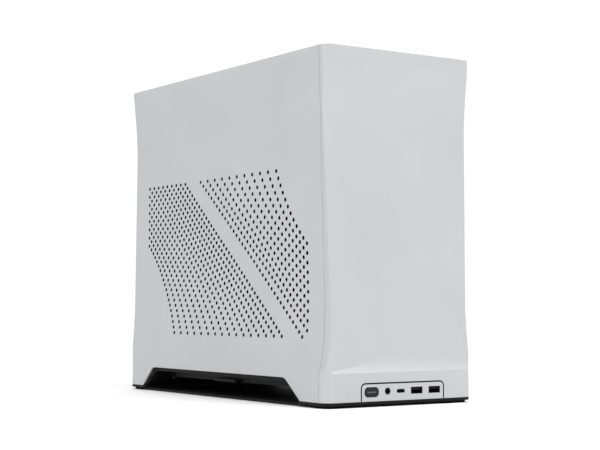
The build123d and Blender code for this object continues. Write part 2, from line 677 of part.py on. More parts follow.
with BuildPart() as board_connectors:
    block((BOARD_FACE, 50, 102), (BOARD_FACE + 8, 139, 109.5))
    block((BOARD_FACE, -4, 180), (BOARD_FACE + 10, 4, 232))
    block((BOARD_FACE, 10.5, 112), (BOARD_FACE + 6, 17.5, 254))
    block((BOARD_FACE, 20.5, 112), (BOARD_FACE + 6, 27.5, 254))
    block((BOARD_FACE, 118, 256), (BOARD_FACE + 10, 138, 264))
    block((BOARD_FACE, CPU_Y - 22.5, CPU_Z - 22.5), (BOARD_FACE + 5, CPU_Y + 22.5, CPU_Z + 22.5))
    block((BOARD_FACE, 34, 150), (BOARD_FACE + 8, 40, 240))
save(board_connectors, "board_connectors")

with BuildPart() as memory_modules:
    for y in (14.0, 24.0):
        block((BOARD_FACE + 6, y - 3.2, 116), (BOARD_FACE + 36, y + 3.2, 250))
    fillet(memory_modules.edges().filter_by(Axis.Y).group_by(Axis.X)[-1], 3)
save(memory_modules, "memory_modules")

with BuildPart() as solid_state_drive:
    block((BOARD_FACE, 58, 122), (BOARD_FACE + 7, 138, 145))
    with Locations((BOARD_FACE + 5, 98, 133.5)):
        with GridLocations(1, 4, 1, 5):
            Box(6, 76, 1.8, mode=Mode.SUBTRACT)
save(solid_state_drive, "solid_state_drive")

PORTS = ((119, 18), (141, 16), (161, 16), (183, 18), (206, 16), (236, 30))
with BuildPart() as rear_ports:
    for z, tall in PORTS:
        block((BOARD_FACE, 146, z - tall / 2), (BOARD_FACE + 15, 167.4, z + tall / 2))
        low_z, high_z = z - tall / 2 + 1.5, z + tall / 2 - 1.5
        for near, far in ((1.5, 6.6), (8.4, 13.5)):
            block((BOARD_FACE + near, 158, low_z), (BOARD_FACE + far, 168, high_z), Mode.SUBTRACT)
save(rear_ports, "rear_ports")

with BuildPart() as io_shield:
    block((SHIELD_X[0] + 2.6, 164.4, SHIELD_Z[0]), (SHIELD_X[1], 165.4, SHIELD_Z[1]))
    for z, tall in PORTS:
        block(
            (BOARD_FACE - 2, 163, z - tall / 2 - 0.3),
            (BOARD_FACE + 15.3, 168, z + tall / 2 + 0.3),
            Mode.SUBTRACT,
        )
save(io_shield, "io_shield")

COOLER_X = BOARD_FACE + 5
with BuildPart() as cpu_cooler:
    block((COOLER_X, CPU_Y - 20, CPU_Z - 20), (COOLER_X + 13, CPU_Y + 20, CPU_Z + 20))
    block((COOLER_X + 13, CPU_Y - 46, CPU_Z - 46), (COOLER_X + 45, CPU_Y + 46, CPU_Z + 46))
    for index in range(26):
        slot_y = CPU_Y - 44.3 + 3.5 * index
        low, high = (COOLER_X + 16, slot_y, CPU_Z - 50), (COOLER_X + 50, slot_y + 2.5, CPU_Z + 50)
        block(low, high, Mode.SUBTRACT)
save(cpu_cooler, "cpu_cooler")

cpu_fan_plane = Plane(
    origin=(COOLER_X + 45.2 + 7.5, CPU_Y, CPU_Z), x_dir=(0, 1, 0), z_dir=(1, 0, 0)
)
save(fan_frame(cpu_fan_plane, 92, 15, 82.5), "cpu_fan_frame")
save(fan_rotor(cpu_fan_plane, 92, 15, 9), "cpu_fan_rotor")

# ---------------------------------------------------------------- graphics card
CARD_BACK = CARD_X + 1.6
CARD_FANS = ((-28.0, 174.0), (88.0, 174.0))
SHROUD_X = (-64.5, -42.5)

with BuildPart() as card_board:
    block((CARD_X, CARD_Y0 + 3, CARD_Z0), (CARD_BACK, CARD_Y1 - 2, CARD_Z1))
    block((CARD_X, 50, CARD_Z0 - 8), (CARD_BACK, 139, CARD_Z0))
save(card_board, "graphics_card_board")

with BuildPart() as card_heatsink:
    block((SHROUD_X[1] + 0.3, CARD_Y0 + 6, CARD_Z0 + 4), (CARD_X, CARD_Y1 - 8, CARD_Z1 - 4))
    for index in range(56):
        slot_y = CARD_Y0 + 8 + 4.15 * index
        block(
            (SHROUD_X[1] - 1, slot_y, CARD_Z0), (CARD_X - 5, slot_y + 3.1, CARD_Z1), Mode.SUBTRACT
        )
save(card_heatsink, "graphics_card_heatsink")

with BuildPart() as card_shroud:
    block((SHROUD_X[0], CARD_Y0, CARD_Z0), (SHROUD_X[1], CARD_Y1 - 6, CARD_Z1))
    fillet(card_shroud.edges().filter_by(Axis.X), 6)
    fillet(card_shroud.faces().sort_by(Axis.X)[0].edges(), 2)
    for y, z in CARD_FANS:
        with Locations(Location((sum(SHROUD_X) / 2, y, z), (0, 90, 0))):
            Cylinder(49, 30, mode=Mode.SUBTRACT)
        with Locations(Location((SHROUD_X[1] - 1.25, y, z), (0, 90, 0))):
            Cylinder(19, 2.5)
            with PolarLocations(0, 3, 30):
                with Locations((30, 0, 0)):
                    Box(42, 4, 2.5)
        with Locations(Location((SHROUD_X[1] - 8, y, z), (0, 90, 0))):
            Cylinder(SHAFT_R, 14)
save(card_shroud, "graphics_card_shroud")

for fan_name, (y, z) in zip(("front", "rear"), CARD_FANS):
    card_fan = Plane(
        origin=(sum(SHROUD_X) / 2 + 1.0, y, z), x_dir=(0, 1, 0), z_dir=(-1, 0, 0)
    )
    save(fan_rotor(card_fan, 104, 18, 11), f"graphics_fan_rotor_{fan_name}")

with BuildPart() as card_bracket:
    block((SLOT_X[0] + 0.5, 163.6, CARD_Z0 - 2), (CARD_BACK, 164.8, CARD_Z1 - 4))
    for z in (130, 152, 174, 196):
        block((CARD_X - 8, 160, z), (CARD_X - 2, 168, z + 15), Mode.SUBTRACT)
    for z in range(124, 216, 8):
        block((SLOT_X[0] + 6, 160, z), (CARD_X - 14, 168, z + 4), Mode.SUBTRACT)
save(card_bracket, "graphics_card_bracket")

RISER_Z = 92.4
with BuildPart() as riser_cable:
    block((BOARD_FACE + 8.2, 55, RISER_Z), (BOARD_FACE + 14, 134, 109))
    block((CARD_X - 0.4, 55, RISER_Z), (BOARD_FACE + 10, 134, RISER_Z + 1.2))
    block((CARD_X - 0.4, 48, RISER_Z), (CARD_BACK + 0.4, 141, CARD_Z0 - 8.2))
save(riser_cable, "riser_cable")

# ---------------------------------------------------------------- power supply
PSU_Y0 = PSU_REAR_Y - SHEET - PSU_L
PSU_Z1 = PSU_Z0 + PSU_H
PSU_FAN_Y = 115.0
PSU_BACK = PSU_REAR_Y - SHEET
INLET_X, SWITCH_X, SOCKET_Z = -34.0, 2.0, PSU_Z0 + 34

with BuildPart() as power_supply_case:
    block((-PSU_W / 2, PSU_Y0, PSU_Z0), (PSU_W / 2, PSU_BACK, PSU_Z1))
    fillet(power_supply_case.edges().filter_by(Axis.Y), 1.5)
    inside_low = (1 - PSU_W / 2, PSU_Y0 + 1, PSU_Z0 + 1)
    inside_high = (PSU_W / 2 - 1, PSU_BACK - 1, PSU_Z1 - 1)
    block(inside_low, inside_high, Mode.SUBTRACT)
    with Locations((0, PSU_FAN_Y, PSU_Z0)):
        Cylinder(43, 6, mode=Mode.SUBTRACT)
    for x, half_w, half_h in ((INLET_X, 13.8, 10), (SWITCH_X, 6.8, 9.8)):
        low, high = (x - half_w, 160, SOCKET_Z - half_h), (x + half_w, 170, SOCKET_Z + half_h)
        block(low, high, Mode.SUBTRACT)
    with BuildSketch(Plane.XZ.offset(-PSU_BACK)):
        with Locations((36, PSU_Z0 + 32)):
            with GridLocations(6, 6, 6, 7):
                RegularPolygon(2.5, 6)
    extrude(amount=2, both=True, mode=Mode.SUBTRACT)
    arm_half = PSU_W / 2 - 0.5
    block(
        (-arm_half, PSU_FAN_Y - 3, PSU_Z0 + 18), (arm_half, PSU_FAN_Y + 3, PSU_Z0 + 20.5)
    )
    with Locations((0, PSU_FAN_Y, PSU_Z0 + 12.6)):
        Cylinder(SHAFT_R, 12)
save(power_supply_case, "power_supply_case")

psu_fan_plane = Plane(origin=(0, PSU_FAN_Y, PSU_Z0 + 10.5), z_dir=(0, 0, -1))
save(fan_rotor(psu_fan_plane, 90, 15, 11), "power_supply_fan_rotor")

with BuildPart() as ac_inlet:
    block(
        (INLET_X - 13.5, PSU_BACK - 16, SOCKET_Z - 9.7),
        (INLET_X + 13.5, PSU_BACK + 1.4, SOCKET_Z + 9.7),
    )
    with BuildSketch(Plane.XZ.offset(-PSU_BACK)) as inlet_mouth:
        with Locations((INLET_X, SOCKET_Z)):
            Rectangle(24, 16)
        chamfer(inlet_mouth.vertices().group_by(Axis.Z)[-1], 4)
    extrude(inlet_mouth.sketch, amount=-4, mode=Mode.SUBTRACT)
    extrude(inlet_mouth.sketch, amount=14, mode=Mode.SUBTRACT)
    for pin_x, pin_z in ((-7, -2), (0, 2), (7, -2)):
        pin = (INLET_X + pin_x, SOCKET_Z + pin_z)
        block((pin[0] - 1, PSU_BACK - 16, pin[1] - 2), (pin[0] + 1, PSU_BACK - 1, pin[1] + 2))
save(ac_inlet, "ac_inlet")

with BuildPart() as switch_bezel:
    block(
        (SWITCH_X - 6.6, PSU_BACK - 12, SOCKET_Z - 9.6),
        (SWITCH_X + 6.6, PSU_BACK + 1.2, SOCKET_Z + 9.6),
    )
    block(
        (SWITCH_X - 5.2, PSU_BACK - 10, SOCKET_Z - 8.2),
        (SWITCH_X + 5.2, PSU_BACK + 3, SOCKET_Z + 8.2),
        Mode.SUBTRACT,
    )
    with Locations(Location((SWITCH_X, PSU_BACK - 3, SOCKET_Z), (0, 90, 0))):
        Cylinder(1.2, 11)
save(switch_bezel, "switch_bezel")

ROCKER_TILT = 7.0
rocker_plane = Plane(origin=(SWITCH_X, PSU_BACK - 3, SOCKET_Z), x_dir=(1, 0, 0), z_dir=(0, 1, 0))
with BuildPart(rocker_plane.rotated((ROCKER_TILT, 0, 0))) as switch_rocker:
    Cylinder(5.0, 9.6, rotation=(0, 90, 0))
    with Locations((0, 0, 2.2)):
        Box(9.6, 14.4, 3.6)
    fillet(switch_rocker.edges().filter_by(Axis.X).sort_by(Axis.Y)[-2:], 0.8)
    Cylinder(1.25, 12, rotation=(0, 90, 0), mode=Mode.SUBTRACT)
save(switch_rocker, "switch_rocker")


# ---------------------------------------------------------------- cables held inside
def cable(points, bend_r, section_r):
    """Round loom along straight runs joined by tangent bends."""
    with BuildPart() as loom:
        with BuildLine() as route:
            FilletPolyline(*points, radius=bend_r)
        start = Plane(origin=route.line @ 0, z_dir=route.line % 0)
        with BuildSketch(start):
            Circle(section_r)
        sweep(path=route.line)
    return loom


BOARD_CABLE_X = 34.0
main_power_cable = cable(
    (
        (BOARD_CABLE_X, PSU_Y0 - 0.2, 64),
        (BOARD_CABLE_X, 0, 64),
        (BOARD_CABLE_X, 0, 206),
        (BOARD_FACE + 10.2, 0, 206),
    ),
    20,
    4.0,
)
save(main_power_cable, "main_power_cable")

graphics_power_cable = cable(
    (
        (-30, PSU_Y0 - 0.2, 64),
        (-30, CARD_Y0 - 28, 64),
        (-30, CARD_Y0 - 28, 190),
        (-30, CARD_Y0 + 5.8, 190),
    ),
    20,
    3.5,
)
save(graphics_power_cable, "graphics_power_cable")

# ---------------------------------------------------------------- fastenings
STUD_Y, STUD_Z, STUD_TIP_X = 118.0, 285.0, 65.0
CLIP_IN, CLIP_OUT = 61.0, 68.6


def panel_studs(side):
    """Two snap studs on the inside of one side panel; the right pair is half a turn away."""
    with BuildPart() as studs:
        for y, root in ((STUD_Y, 75.4), (-STUD_Y, 78.0)):
            foot = Plane(origin=(side * root, -side * y, STUD_Z), z_dir=(-side, 0, 0))
            length = root - STUD_TIP_X
            for start, end, radius in ((0, 2.4, 5.0), (0, length, 2.0), (length - 4, length, 3.0)):
                with BuildSketch(foot.offset(start)):
                    Circle(radius)
                extrude(amount=end - start)
        tips = studs.faces().filter_by(Axis.X).group_by(Axis.X)[0 if side > 0 else -1]
        chamfer(tips.edges(), 1.2)
    return studs


save(panel_studs(-1), "left_panel_studs")
save(panel_studs(1), "right_panel_studs")

with BuildPart() as panel_clips:
    for side in (-1, 1):
        for y in (-STUD_Y, STUD_Y):
            low, high = sorted((side * CLIP_IN, side * CLIP_OUT))
            block((low, y - 6, STUD_Z - 6), (high, y + 6, CHASSIS_TOP_Z))
            with Locations(Location((side * (CLIP_OUT - 3), y, STUD_Z), (0, 90, 0))):
                Cylinder(3.6, 7.4, mode=Mode.SUBTRACT)
save(panel_clips, "panel_clips")

SCREW_HEAD_R, SCREW_HEAD_H = 4.5, 5.0
screw_places = [(x, z) for x in (-58.5, 58.5) for z in (33.0, 288.0)]
with BuildPart() as thumbscrews:
    with BuildSketch(Plane.XZ.offset(-CHASSIS_REAR_Y)):
        with Locations(*screw_places):
            Circle(SCREW_HEAD_R)
            with PolarLocations(SCREW_HEAD_R, 12):
                Circle(0.5, mode=Mode.SUBTRACT)
    extrude(amount=-SCREW_HEAD_H)
    with BuildSketch(Plane.XZ.offset(-CHASSIS_REAR_Y - SCREW_HEAD_H)):
        with Locations(*screw_places):
            SlotOverall(6, 1)
    extrude(amount=1, mode=Mode.SUBTRACT)
save(thumbscrews, "thumbscrews")
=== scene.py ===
import json
import math

import bmesh
import bpy
from mathutils import Matrix, Vector


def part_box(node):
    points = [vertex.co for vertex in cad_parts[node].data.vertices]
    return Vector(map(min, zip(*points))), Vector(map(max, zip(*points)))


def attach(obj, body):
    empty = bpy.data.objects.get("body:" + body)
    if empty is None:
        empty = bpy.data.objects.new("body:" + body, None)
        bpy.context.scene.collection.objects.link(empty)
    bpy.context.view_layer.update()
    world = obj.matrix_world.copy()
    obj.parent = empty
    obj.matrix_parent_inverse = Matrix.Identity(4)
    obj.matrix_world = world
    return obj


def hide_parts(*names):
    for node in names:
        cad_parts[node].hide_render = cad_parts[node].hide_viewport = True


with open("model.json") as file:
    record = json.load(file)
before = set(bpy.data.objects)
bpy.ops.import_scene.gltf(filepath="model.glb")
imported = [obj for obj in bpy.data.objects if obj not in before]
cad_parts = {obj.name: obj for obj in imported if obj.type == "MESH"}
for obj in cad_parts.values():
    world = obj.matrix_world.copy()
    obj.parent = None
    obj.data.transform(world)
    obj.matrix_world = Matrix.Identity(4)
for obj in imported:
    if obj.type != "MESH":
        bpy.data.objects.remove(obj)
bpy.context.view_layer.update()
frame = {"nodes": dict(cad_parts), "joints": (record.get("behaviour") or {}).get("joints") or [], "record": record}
NODES = frame["nodes"]
RECORD = frame["record"]
SLOT_OF = {part["node"]: part["material_slot"] for part in RECORD["subparts"]}
MM = 0.001


# ---------------------------------------------------------------- materials
def new_material(name, colour, metallic, roughness):
    """A principled material and its node tree, with constants on the shader's own sockets."""
    material = bpy.data.materials.new(name)
    material.use_nodes = True
    shader = material.node_tree.nodes["Principled BSDF"]
    shader.inputs["Base Color"].default_value = (*colour, 1)
    shader.inputs["Metallic"].default_value = metallic
    shader.inputs["Roughness"].default_value = roughness
    return material, shader


def object_noise(tree, scale, detail=3.0, stretch=(1, 1, 1)):
    """Noise in the row's frame, in cycles per metre."""
    place = tree.nodes.new("ShaderNodeTexCoord")
    mapping = tree.nodes.new("ShaderNodeMapping")
    mapping.inputs["Scale"].default_value = stretch
    tree.links.new(place.outputs["Object"], mapping.inputs["Vector"])
    noise = tree.nodes.new("ShaderNodeTexNoise")
    noise.inputs["Scale"].default_value = scale
    noise.inputs["Detail"].default_value = detail
    tree.links.new(mapping.outputs["Vector"], noise.inputs["Vector"])
    return noise


def vary_colour(tree, shader, noise, low, high):
    """Base colour that drifts between two colours."""
    ramp = tree.nodes.new("ShaderNodeValToRGB")
    ramp.color_ramp.elements[0].position = 0.3
    ramp.color_ramp.elements[1].position = 0.7
    ramp.color_ramp.elements[0].color = (*low, 1)
    ramp.color_ramp.elements[1].color = (*high, 1)
    tree.links.new(noise.outputs["Fac"], ramp.inputs["Fac"])
    tree.links.new(ramp.outputs["Color"], shader.inputs["Base Color"])


def vary_roughness(tree, shader, noise, low, high):
    """Roughness that drifts between two values."""
    spread = tree.nodes.new("ShaderNodeMapRange")
    spread.inputs["From Min"].default_value = 0.3
    spread.inputs["From Max"].default_value = 0.7
    spread.inputs["To Min"].default_value = low
    spread.inputs["To Max"].default_value = high
    tree.links.new(noise.outputs["Fac"], spread.inputs["Value"])
    tree.links.new(spread.outputs["Result"], shader.inputs["Roughness"])


def add_bump(tree, shader, height, strength, distance):
    """Bump of a real depth, in metres, from a height output."""
    bump = tree.nodes.new("ShaderNodeBump")
    bump.inputs["Strength"].default_value = strength
    bump.inputs["Distance"].default_value = distance
    tree.links.new(height, bump.inputs["Height"])
    tree.links.new(bump.outputs["Normal"], shader.inputs["Normal"])


def textured(name, low, high, metallic, rough, grain, bump, stretch=(1, 1, 1)):
    """A surface with a slow drift of colour and roughness and a fine grain."""
    material, shader = new_material(name, high, metallic, sum(rough) / 2)
    tree = material.node_tree
    drift = object_noise(tree, 14, 4)
    vary_colour(tree, shader, drift, low, high)
    fine = object_noise(tree, grain, 3, stretch)
    vary_roughness(tree, shader, fine, *rough)
    add_bump(tree, shader, fine.outputs["Fac"], bump[0], bump[1])
    return material


def anodised_aluminium(name):
    """Bead-blasted, silver anodised sheet."""
    return textured(
        name, (0.49, 0.495, 0.504), (0.518, 0.52, 0.528), 0.7, (0.46, 0.56), 2600, (0.15, 0.0001)
    )


# the band of height and the reach forward and back that hold every drilled hole, in metres
VENT_LOW, VENT_HIGH, VENT_REACH = 0.055, 0.2145, 0.16
SKIN_FACING = 0.6        # below this the surface looks along the skin, as a hole wall does
# near-black painted shade for the vent hole walls, standing in for the shade inside the holes
VENT_WALL_SHADE = (0.012, 0.012, 0.013)


def compare(tree, value, limit, operation):
    """1 where the value is over or under the limit, else 0."""
    test = tree.nodes.new("ShaderNodeMath")
    test.operation = operation
    tree.links.new(value, test.inputs[0])
    test.inputs[1].default_value = limit
    return test.outputs["Value"]


def drilled_aluminium(name):
    """The same sheet, with near-black painted shade on the walls of the drilled vents, so that the holes fall
    dark.
    """
    material = anodised_aluminium(name)
    tree = material.node_tree
    shader = tree.nodes["Principled BSDF"]
    place = tree.nodes.new("ShaderNodeTexCoord")
    normal = tree.nodes.new("ShaderNodeSeparateXYZ")
    spot = tree.nodes.new("ShaderNodeSeparateXYZ")
    tree.links.new(place.outputs["Normal"], normal.inputs["Vector"])
    tree.links.new(place.outputs["Object"], spot.inputs["Vector"])
    sizes = {}
    for key, output in (("facing", normal.outputs["X"]), ("along", spot.outputs["Y"])):
        size = tree.nodes.new("ShaderNodeMath")
        size.operation = "ABSOLUTE"
        tree.links.new(output, size.inputs[0])
        sizes[key] = size.outputs["Value"]
    tests = (
        compare(tree, sizes["facing"], SKIN_FACING, "LESS_THAN"),
        compare(tree, sizes["along"], VENT_REACH, "LESS_THAN"),
        compare(tree, spot.outputs["Z"], VENT_LOW, "GREATER_THAN"),
        compare(tree, spot.outputs["Z"], VENT_HIGH, "LESS_THAN"),
    )
    mask = tests[0]
    for test in tests[1:]:
        both = tree.nodes.new("ShaderNodeMath")
        both.operation = "MULTIPLY"
        tree.links.new(mask, both.inputs[0])
        tree.links.new(test, both.inputs[1])
        mask = both.outputs["Value"]
    # mix the painted shade into the sheet's colour where the mask finds a vent hole wall
    mix = tree.nodes.new("ShaderNodeMix")
    mix.data_type = "RGBA"
    sheet = shader.inputs["Base Color"].links[0].from_socket
    tree.links.new(mask, mix.inputs["Factor"])
    tree.links.new(sheet, mix.inputs["A"])
    mix.inputs["B"].default_value = (*VENT_WALL_SHADE, 1)
    tree.links.new(mix.outputs["Result"], shader.inputs["Base Color"])
    return material


def circuit_board():
    """Dark solder mask with fine copper tracks under it."""
    material, shader = new_material("circuit_board", (0.01, 0.03, 0.02), 0, 0.35)
    shader.inputs["Coat Weight"].default_value = 0.4
    shader.inputs["Coat Roughness"].default_value = 0.2
    tree = material.node_tree
    place = tree.nodes.new("ShaderNodeTexCoord")
    tracks = tree.nodes.new("ShaderNodeTexVoronoi")
    tracks.distance = "MANHATTAN"
    tracks.inputs["Scale"].default_value = 240
    tree.links.new(place.outputs["Object"], tracks.inputs["Vector"])
    ramp = tree.nodes.new("ShaderNodeValToRGB")
    ramp.color_ramp.interpolation = "CONSTANT"
    mask, track = (0.006, 0.022, 0.015, 1), (0.016, 0.05, 0.032, 1)
    ramp.color_ramp.elements[0].color = mask
    ramp.color_ramp.elements[1].position = 0.42
    ramp.color_ramp.elements[1].color = track
    ramp.color_ramp.elements.new(0.5).color = mask
    tree.links.new(tracks.outputs["Distance"], ramp.inputs["Fac"])
    tree.links.new(ramp.outputs["Color"], shader.inputs["Base Color"])
    add_bump(tree, shader, tracks.outputs["Distance"], 0.25, 0.0001)
    return material


def braided_sleeve():
    """Black braid of crossing strands."""
    material, shader = new_material("cable_sleeve", (0.012, 0.012, 0.014), 0, 0.7)
    shader.inputs["Sheen Weight"].default_value = 0.3
    tree = material.node_tree
    place = tree.nodes.new("ShaderNodeTexCoord")
    heights = []
    for turn in (45, -45):
        mapping = tree.nodes.new("ShaderNodeMapping")
        mapping.inputs["Rotation"].default_value = (math.radians(turn), math.radians(turn), 0)
        tree.links.new(place.outputs["Object"], mapping.inputs["Vector"])
        wave = tree.nodes.new("ShaderNodeTexWave")
        wave.inputs["Scale"].default_value = 320
        tree.links.new(mapping.outputs["Vector"], wave.inputs["Vector"])
        heights.append(wave.outputs["Fac"])
    cross = tree.nodes.new("ShaderNodeMath")
    cross.operation = "MAXIMUM"
    tree.links.new(heights[0], cross.inputs[0])
    tree.links.new(heights[1], cross.inputs[1])
    ramp = tree.nodes.new("ShaderNodeValToRGB")
    ramp.color_ramp.elements[0].color = (0.006, 0.006, 0.007, 1)
    ramp.color_ramp.elements[1].color = (0.035, 0.035, 0.038, 1)
    tree.links.new(cross.outputs["Value"], ramp.inputs["Fac"])
    tree.links.new(ramp.outputs["Color"], shader.inputs["Base Color"])
    add_bump(tree, shader, cross.outputs["Value"], 0.6, 0.0003)
    return material


BLACK_SPECULAR = 0.1


def black(name, level, rough, grain, bump, metallic=0.0):
    """A near-black moulded, coated or rubber surface."""
    low = (level * 0.85, level * 0.85, level * 0.9)
    high = (level * 1.15, level * 1.15, level * 1.22)
    material = textured(name, low, high, metallic, rough, grain, bump)
    shader = material.node_tree.nodes["Principled BSDF"]
    shader.inputs["Specular IOR Level"].default_value = BLACK_SPECULAR
    return material


MATERIALS = {
    "skin_aluminium": drilled_aluminium("skin_aluminium"),
    "top_aluminium": anodised_aluminium("top_aluminium"),
    "black_mesh": black("black_mesh", 0.009, (0.4, 0.55), 900, (0.3, 0.0001)),
    "black_steel": black("black_steel", 0.009, (0.5, 0.66), 1400, (0.5, 0.00015)),
    "rubber_feet": black("rubber_feet", 0.007, (0.75, 0.9), 700, (0.4, 0.0002)),
    "black_plastic": black("black_plastic", 0.009, (0.42, 0.54), 1800, (0.3, 0.00008)),
    "button_plastic": black("button_plastic", 0.022, (0.36, 0.46), 2200, (0.2, 0.00006)),
    "light_plastic": textured(
        "light_plastic", (0.11, 0.115, 0.12), (0.14, 0.145, 0.15), 0, (0.25, 0.35), 900,
        (0.1, 0.00005),
    ),
    "port_metal": textured(
        "port_metal", (0.4, 0.4, 0.41), (0.5, 0.5, 0.5), 1, (0.28, 0.42), 600, (0.2, 0.00005),
        (1, 1, 9),
    ),
    "circuit_board": circuit_board(),
    "module_black": black("module_black", 0.03, (0.34, 0.46), 1500, (0.3, 0.00008), 0.5),
    "fan_plastic": black("fan_plastic", 0.022, (0.48, 0.6), 1500, (0.35, 0.0001)),
    "rotor_plastic": black("rotor_plastic", 0.035, (0.34, 0.44), 1200, (0.15, 0.00006)),
    "fin_aluminium": textured(
        "fin_aluminium", (0.55, 0.56, 0.57), (0.66, 0.67, 0.68), 1, (0.24, 0.42), 900,
        (0.3, 0.00006), (1, 1, 12),
    ),
    "supply_steel": black("supply_steel", 0.032, (0.55, 0.7), 1100, (0.6, 0.0002), 0.2),
    "fastener_steel": textured(
        "fastener_steel", (0.42, 0.42, 0.44), (0.52, 0.52, 0.53), 1, (0.3, 0.42), 1300,
        (0.2, 0.00006),
    ),
    "cable_sleeve": braided_sleeve(),
}

# the black base_pan sheet between the feet stands in for the shade on the floor under the case: a painted shadow
for node, node_object in NODES.items():
    node_object.data.materials.clear()
    node_object.data.materials.append(MATERIALS[SLOT_OF[node]])


# ---------------------------------------------------------------- pieces made here
def make_piece(name, mesh, body, slot, smooth_angle=None):
    """A finished mesh as an object that rides on a body and takes a slot's finish."""
    piece = bpy.data.objects.new(name, mesh)
    bpy.context.scene.collection.objects.link(piece)
    mesh.materials.append(MATERIALS[slot])
    if smooth_angle is not None:
        mesh.shade_smooth()
        mesh.set_sharp_from_angle(angle=math.radians(smooth_angle))
    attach(piece, body)
    return piece


def mesh_from(name, vertices, faces):
    mesh = bpy.data.meshes.new(name)
    mesh.from_pydata(vertices, [], faces)
    mesh.validate()
    mesh.update()
    return mesh


def perforated_sheet(name, low, high, cell, hole, corner_r):
    """Sheet between two corners with a field of hexagonal holes and rounded corners."""
    width, length = high[0] - low[0], high[1] - low[1]
    step_y = cell * math.sqrt(3) / 2
    columns, rows = int(width / cell), int(length / step_y) - 1
    left = (low[0] + high[0] - (columns - 0.5) * cell) / 2
    first = (low[1] + high[1] - (rows - 1) * step_y) / 2
    outer_r, inner_r = cell / math.sqrt(3), hole / math.sqrt(3)
    flat = bmesh.new()
    for row in range(rows):
        for column in range(columns):
            x = left + column * cell + (row % 2) * cell / 2
            y = first + row * step_y
            past_x = max(x - high[0], low[0] - x) + corner_r
            past_y = max(y - high[1], low[1] - y) + corner_r
            if min(past_x, past_y) > 0 and math.hypot(past_x, past_y) > corner_r - cell / 2:
                continue
            rings = []
            for radius in (outer_r, inner_r):
                ring = []
                for corner in range(6):
                    angle = math.radians(30 + 60 * corner)
                    place = (x + radius * math.cos(angle), y + radius * math.sin(angle), high[2])
                    ring.append(flat.verts.new(place))
                rings.append(ring)
            for corner in range(6):
                after = (corner + 1) % 6
                corners = (rings[0][corner], rings[0][after], rings[1][after], rings[1][corner])
                flat.faces.new(corners)
    bmesh.ops.remove_doubles(flat, verts=flat.verts, dist=cell / 100)
    edge_faces = bmesh.ops.extrude_face_region(flat, geom=list(flat.faces))
    moved = [item for item in edge_faces["geom"] if isinstance(item, bmesh.types.BMVert)]
    bmesh.ops.translate(flat, verts=moved, vec=(0, 0, low[2] - high[2]))
    bmesh.ops.recalc_face_normals(flat, faces=flat.faces)
    mesh = bpy.data.meshes.new(name)
    flat.to_mesh(mesh)
    flat.free()
    return mesh


HUB_R, SHAFT_BORE_R, HUB_DOME = 17.5 * MM, 1.55 * MM, 2.2 * MM


def rotor_mesh(name, centre, axis, tip_r, height, blades):
    """Hub with a domed cap, a bore and swept, twisted blades about an axis."""
    body = bmesh.new()
    half = height / 2
    profile = [(SHAFT_BORE_R, -half), (HUB_R, -half), (HUB_R, half - HUB_DOME)]
    for step in range(1, 5):
        angle = math.radians(90 * step / 4)
        dome_r = HUB_R - HUB_DOME + HUB_DOME * math.cos(angle)
        profile.append((dome_r, half - HUB_DOME + HUB_DOME * math.sin(angle)))
    profile.append((SHAFT_BORE_R, half))
    around = 48
    rings = []
    for index in range(around):
        angle = 2 * math.pi * index / around
        rings.append([
            body.verts.new((r * math.cos(angle), r * math.sin(angle), z)) for r, z in profile
        ])
    for index in range(around):
        here, there = rings[index], rings[(index + 1) % around]
        for row in range(len(profile)):
            after = (row + 1) % len(profile)
            body.faces.new((here[row], there[row], there[after], here[after]))
    along, across = 12, 8
    for blade in range(blades):
        start = 2 * math.pi * blade / blades
        sheets = []
        for side in (-0.5, 0.5):
            grid = []
            for i in range(along + 1):
                share = i / along
                radius = HUB_R - 0.6 * MM + (tip_r - HUB_R + 0.6 * MM) * share
                pitch = math.radians(52 - 22 * share)
                chord = (0.78 + 0.22 * share) * (height - 3 * MM) / math.sin(pitch)
                sweep = math.radians(26) * share**1.6
                line = []
                for j in range(across + 1):
                    s = j / across - 0.5
                    camber = 1.6 * MM * (1 - 4 * s * s)
                    thick = (1.7 * MM - 0.7 * MM * share) * (1 - 3.2 * s * s)
                    lift = camber + side * thick
                    arc = (s * chord * math.cos(pitch) - lift * math.sin(pitch)) / radius
                    z = s * chord * math.sin(pitch) + lift * math.cos(pitch) - 0.6 * MM
                    angle = start + arc + sweep
                    z = max(-half + 0.3 * MM, min(half - 0.3 * MM, z))
                    place = (radius * math.cos(angle), radius * math.sin(angle), z)
                    line.append(body.verts.new(place))
                grid.append(line)
            sheets.append(grid)
        under, over = sheets
        for i in range(along):
            for j in range(across):
                for grid, flip in ((under, True), (over, False)):
                    quad = [grid[i][j], grid[i + 1][j], grid[i + 1][j + 1], grid[i][j + 1]]
                    body.faces.new(reversed(quad) if flip else quad)
            for j in (0, across):
                body.faces.new((under[i][j], under[i + 1][j], over[i + 1][j], over[i][j]))
        for j in range(across):
            for i in (0, along):
                body.faces.new((under[i][j], under[i][j + 1], over[i][j + 1], over[i][j]))
    bmesh.ops.recalc_face_normals(body, faces=body.faces)
    turn = Vector((0, 0, 1)).rotation_difference(Vector(axis)).to_matrix().to_4x4()
    bmesh.ops.transform(body, matrix=Matrix.Translation(centre) @ turn, verts=body.verts)
    mesh = bpy.data.meshes.new(name)
    body.to_mesh(mesh)
    body.free()
    return mesh


